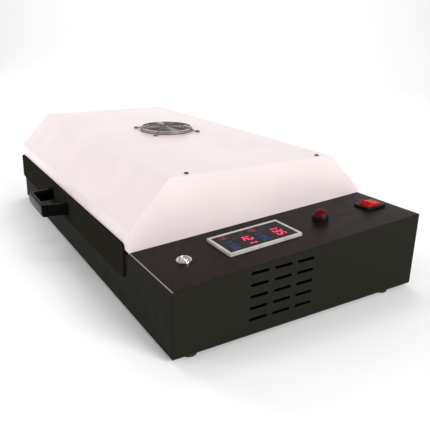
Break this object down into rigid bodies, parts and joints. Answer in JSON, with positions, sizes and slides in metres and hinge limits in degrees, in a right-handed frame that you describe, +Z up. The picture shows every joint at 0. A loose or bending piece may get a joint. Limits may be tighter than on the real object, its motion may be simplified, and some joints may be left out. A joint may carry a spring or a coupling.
{
  "type": "film curing oven",
  "caption": "Bench-top oven that cures powder on printed transfer film, with a wide drawer under a heated hood, a fan guard on top and a control strip at one end.",
  "frame": {"origin": "middle of the object's outline, on the bench under its feet", "axes": "+X along the front towards the control strip, +Y from the drawer's front to the back, +Z up"},
  "size_m": [0.86, 0.55, 0.2336],
  "materials": {
    "black_coat": "black satin powder coat",
    "strip_coat": "dark satin powder coat",
    "white_coat": "white gloss powder coat",
    "galvanised": "galvanised sheet",
    "stainless": "bright rolled stainless sheet",
    "rockwool": "mineral wool board",
    "quartz": "clear quartz tube",
    "ceramic": "unglazed steatite",
    "copper": "bare copper",
    "screw_steel": "zinc-plated steel",
    "fan_plastic": "glass-filled black nylon",
    "guard_wire": "nickel-plated wire",
    "bezel": "satin silver",
    "panel_glass": "smoked front film",
    "digits": "lit red segments",
    "key_film": "printed key film",
    "ring_metal": "nickel-plated brass",
    "cap_metal": "satin metal",
    "nut_metal": "plated steel",
    "black_plastic": "moulded black nylon",
    "handle_plastic": "moulded black plastic",
    "lamp_red": "clear red dome",
    "rocker_red": "clear red rocker",
    "sink_metal": "extruded aluminium",
    "relay_case": "moulded cream plastic",
    "rubber": "moulded rubber",
    "wire_cover": "silicone insulation"
  },
  "bodies": {
    "root": {"base_tray": "black_coat", "control_cover": "strip_coat", "hood_wrap": "white_coat", "hood_end_left": "white_coat", "hood_end_right": "white_coat", "hood_screws": "screw_steel", "rear_screws": "screw_steel", "side_plate_left": "galvanised", "side_plate_right": "galvanised", "chamber_liner": "stainless", "hood_insulation": "rockwool", "floor_shield": "stainless", "floor_insulation": "rockwool", "heater_caps": "ceramic", "busbars": "copper", "thermocouple": "screw_steel", "fan_frame": "fan_plastic", "fan_guard": "guard_wire", "fan_screws": "screw_steel", "controller_case": "black_plastic", "controller_bezel": "bezel", "controller_face": "panel_glass", "display_digits": "digits", "controller_keys": "key_film", "button_housing": "ring_metal", "panel_nuts": "nut_metal", "lamp_base": "black_plastic", "lamp_lens": "lamp_red", "switch_frame": "black_plastic", "mains_inlet": "black_plastic", "relay_heatsink": "sink_metal", "solid_state_relay": "relay_case", "terminal_block": "black_plastic", "cable_grommets": "rubber", "wiring_loom": "wire_cover", "foot_front_left": "rubber", "foot_front_right": "rubber", "foot_back_left": "rubber", "foot_back_right": "rubber", "foot_screws": "screw_steel", "runner_fixed_left": "galvanised", "runner_fixed_right": "galvanised", "heater_tube_1": "quartz", "heater_tube_2": "quartz", "heater_tube_3": "quartz", "heater_tube_4": "quartz", "heater_tube_5": "quartz"},
    "drawer": {"drawer_front": "black_coat", "drawer_handle": "handle_plastic", "handle_screws": "screw_steel", "drawer_tray": "stainless", "tray_end_walls": "stainless", "tray_rack": "screw_steel", "runner_inner_left": "galvanised", "runner_inner_right": "galvanised"},
    "left_runner": {"runner_middle_left": "galvanised"},
    "right_runner": {"runner_middle_right": "galvanised"},
    "fan": {"fan_rotor": "fan_plastic"},
    "rocker": {"switch_rocker": "rocker_red"},
    "button": {"button_cap": "cap_metal"}
  },
  "joints": [
    {"name": "drawer_slide", "type": "slide", "parent": "root", "child": "drawer", "axis": [0, -1, 0], "range_m": [0, 0.38]},
    {"name": "left_runner_slide", "type": "slide", "parent": "root", "child": "left_runner", "axis": [0, -1, 0], "range_m": [0, 0.19]},
    {"name": "right_runner_slide", "type": "slide", "parent": "root", "child": "right_runner", "axis": [0, -1, 0], "range_m": [0, 0.19]},
    {"name": "fan_spin", "type": "hinge", "parent": "root", "child": "fan", "pos_m": [-0.08, 0.032, 0.2085], "axis": [0, 0, 1], "continuous": true},
    {"name": "switch_rock", "type": "hinge", "parent": "root", "child": "rocker", "pos_m": [0.3535, 0.23112, 0.13658], "axis": [1, 0, 0], "range_deg": [0, 24]},
    {"name": "button_press", "type": "slide", "parent": "root", "child": "button", "axis": [0, 0.0591, -0.9983], "range_m": [0, 0.003], "stiffness_N_per_m": 300, "springref_m": -0.002}
  ],
  "couplings": [
    {"joint": "left_runner_slide", "follows": "drawer_slide", "ratio": 0.5},
    {"joint": "right_runner_slide", "follows": "drawer_slide", "ratio": 0.5}
  ]
}
